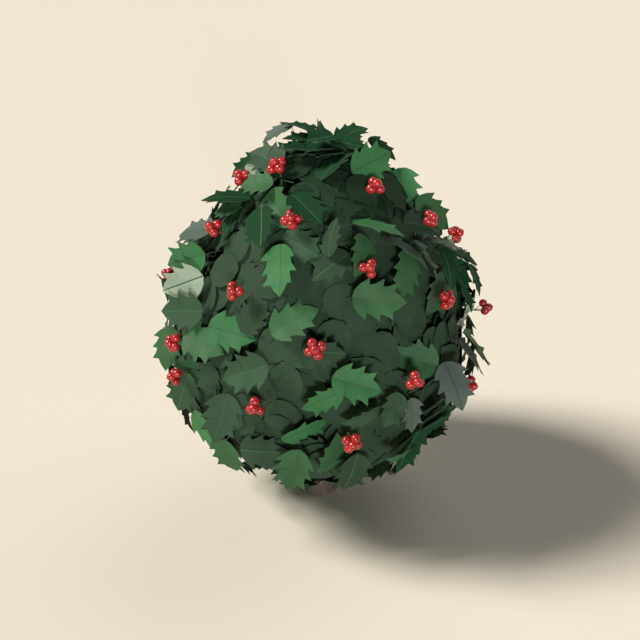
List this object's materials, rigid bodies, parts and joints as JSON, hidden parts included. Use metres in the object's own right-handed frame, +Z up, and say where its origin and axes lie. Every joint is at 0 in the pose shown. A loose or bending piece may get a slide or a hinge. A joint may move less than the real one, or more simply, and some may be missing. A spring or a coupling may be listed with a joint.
{
  "type": "young holly tree",
  "caption": "Small rooted holly tree with one short trunk, boughs in tiers, and a dense egg-shaped crown of spiny evergreen leaves with red berry clusters.",
  "frame": {"origin": "middle of the flat cut under the trunk, at ground level", "axes": "+Z up along the trunk; +X to the right and -Y towards the viewer, as seen in the picture"},
  "size_m": [0.9896, 1.0065, 1.1891],
  "materials": {
    "bark": "rough",
    "foliage": "glossy"
  },
  "bodies": {
    "root": {"bough_high_1": "bark", "bough_high_2": "bark", "bough_high_3": "bark", "bough_high_4": "bark", "bough_high_5": "bark", "bough_low_1": "bark", "bough_low_2": "bark", "bough_low_3": "bark", "bough_low_4": "bark", "bough_low_5": "bark", "bough_low_6": "bark", "bough_middle_1": "bark", "bough_middle_2": "bark", "bough_middle_3": "bark", "bough_middle_4": "bark", "bough_middle_5": "bark", "bough_middle_6": "bark", "foliage_high_1": "foliage", "foliage_high_2": "foliage", "foliage_high_3": "foliage", "foliage_high_4": "foliage", "foliage_high_5": "foliage", "foliage_low_1": "foliage", "foliage_low_2": "foliage", "foliage_low_3": "foliage", "foliage_low_4": "foliage", "foliage_low_5": "foliage", "foliage_low_6": "foliage", "foliage_middle_1": "foliage", "foliage_middle_2": "foliage", "foliage_middle_3": "foliage", "foliage_middle_4": "foliage", "foliage_middle_5": "foliage", "foliage_middle_6": "foliage", "foliage_top": "foliage", "trunk": "bark"}
  },
  "joints": []
}
